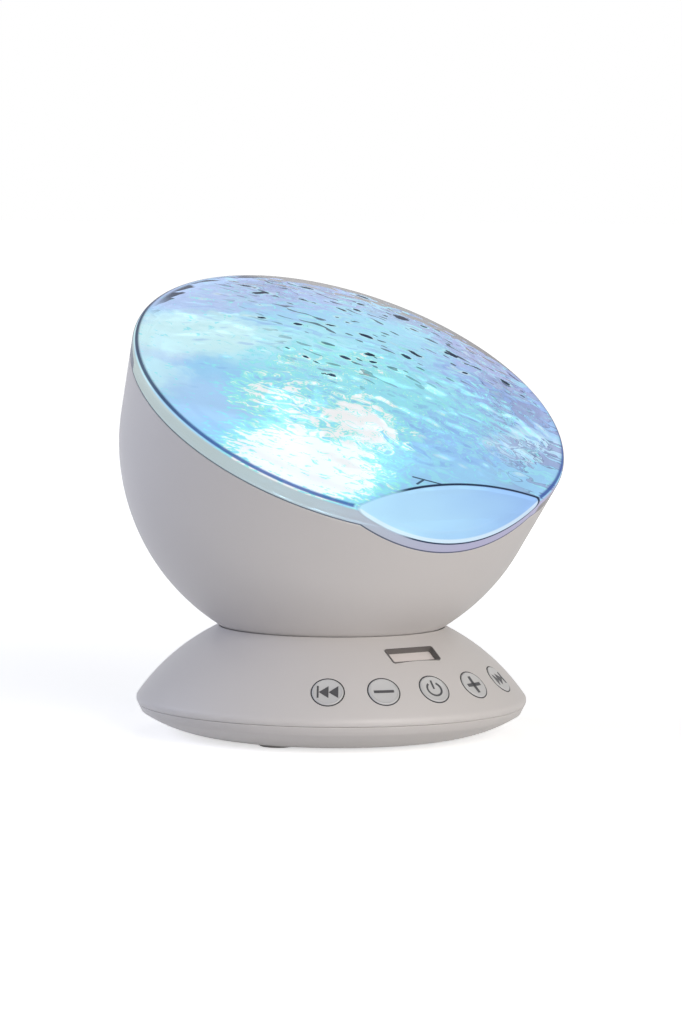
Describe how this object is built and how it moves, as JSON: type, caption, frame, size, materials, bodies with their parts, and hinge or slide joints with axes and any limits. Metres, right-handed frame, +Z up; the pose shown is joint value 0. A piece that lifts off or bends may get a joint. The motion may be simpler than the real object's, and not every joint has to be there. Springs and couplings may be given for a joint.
{
  "type": "water wave effect light",
  "caption": "Bowl-shaped wave-effect lamp under a clear scooped cover, tilting on a round conical base with round front keys, a turning rippled disc inside and a speaker below.",
  "frame": {"origin": "on the floor plane that the rubber feet stand on, under the middle of the round base", "axes": "+Z up along the base's axis; the front with the keys faces -Y; X runs along the head's tilt axis, with +X to the right of the object seen from its front"},
  "size_m": [0.1212, 0.1138, 0.123],
  "materials": {
    "housing": "fine matt warm white ABS",
    "key": "satin, warm white",
    "clear_cover": "clear polystyrene, gloss",
    "window": "frosted clear",
    "inner_plastic": "plain moulded",
    "black_plastic": "plain moulded",
    "board": "solder mask",
    "steel": "plain steel",
    "foot_rubber": "moulded rubber"
  },
  "bodies": {
    "base": {"base_cover": "housing", "base_plate": "housing", "foot_pad_1": "foot_rubber", "foot_pad_2": "foot_rubber", "foot_pad_3": "foot_rubber", "foot_pad_4": "foot_rubber", "base_screw_1": "steel", "base_screw_2": "steel", "base_screw_3": "steel", "base_screw_4": "steel", "speaker_frame": "black_plastic", "speaker_cone": "black_plastic", "speaker_magnet": "steel", "main_board": "board", "board_screw_1": "steel", "board_screw_2": "steel", "power_socket": "steel", "audio_socket": "black_plastic", "board_chip": "black_plastic", "board_capacitor": "steel", "key_board": "board", "key_switch_1": "black_plastic", "key_switch_2": "black_plastic", "key_switch_3": "black_plastic", "key_switch_4": "black_plastic", "key_switch_5": "black_plastic", "remote_receiver": "black_plastic", "window_lens": "window", "tilt_saddle": "inner_plastic", "tilt_screw": "steel"},
    "head": {"head_bowl": "housing", "wave_cover": "clear_cover", "reflector_cup": "inner_plastic", "motor_bracket": "inner_plastic", "bracket_screw_1": "steel", "bracket_screw_2": "steel", "bracket_screw_3": "steel", "led_board": "board", "led_1": "clear_cover", "led_2": "clear_cover", "led_3": "clear_cover", "led_4": "clear_cover", "led_5": "clear_cover", "led_6": "clear_cover", "led_7": "clear_cover", "led_8": "clear_cover", "led_9": "clear_cover", "gearbox_case": "black_plastic", "drive_motor": "steel", "motor_lead": "black_plastic"},
    "ripple_wheel": {"ripple_disc": "clear_cover", "disc_hub": "inner_plastic", "motor_shaft": "steel", "disc_cap": "inner_plastic"},
    "previous_key": {"key_previous": "key"},
    "volume_down_key": {"key_volume_down": "key"},
    "power_key": {"key_power": "key"},
    "volume_up_key": {"key_volume_up": "key"},
    "next_key": {"key_next": "key"}
  },
  "joints": [
    {"name": "head_tilt", "type": "hinge", "parent": "base", "child": "head", "pos_m": [0, 0, 0.0785], "axis": [1, 0, 0], "range_deg": [-10.5, 14.5]},
    {"name": "disc_spin", "type": "hinge", "parent": "head", "child": "ripple_wheel", "pos_m": [0, 0, 0.0785], "axis": [0, -0.5075, 0.8616], "continuous": true},
    {"name": "previous_press", "type": "slide", "parent": "base", "child": "previous_key", "axis": [0.4252, 0.5932, -0.6836], "range_m": [0, 0.0006], "stiffness_N_per_m": 600},
    {"name": "volume_down_press", "type": "slide", "parent": "base", "child": "volume_down_key", "axis": [0.2233, 0.6948, -0.6836], "range_m": [0, 0.0006], "stiffness_N_per_m": 600},
    {"name": "power_press", "type": "slide", "parent": "base", "child": "power_key", "axis": [0, 0.7298, -0.6836], "range_m": [0, 0.0006], "stiffness_N_per_m": 600},
    {"name": "volume_up_press", "type": "slide", "parent": "base", "child": "volume_up_key", "axis": [-0.2233, 0.6948, -0.6836], "range_m": [0, 0.0006], "stiffness_N_per_m": 600},
    {"name": "next_press", "type": "slide", "parent": "base", "child": "next_key", "axis": [-0.4252, 0.5932, -0.6836], "range_m": [0, 0.0006], "stiffness_N_per_m": 600}
  ]
}
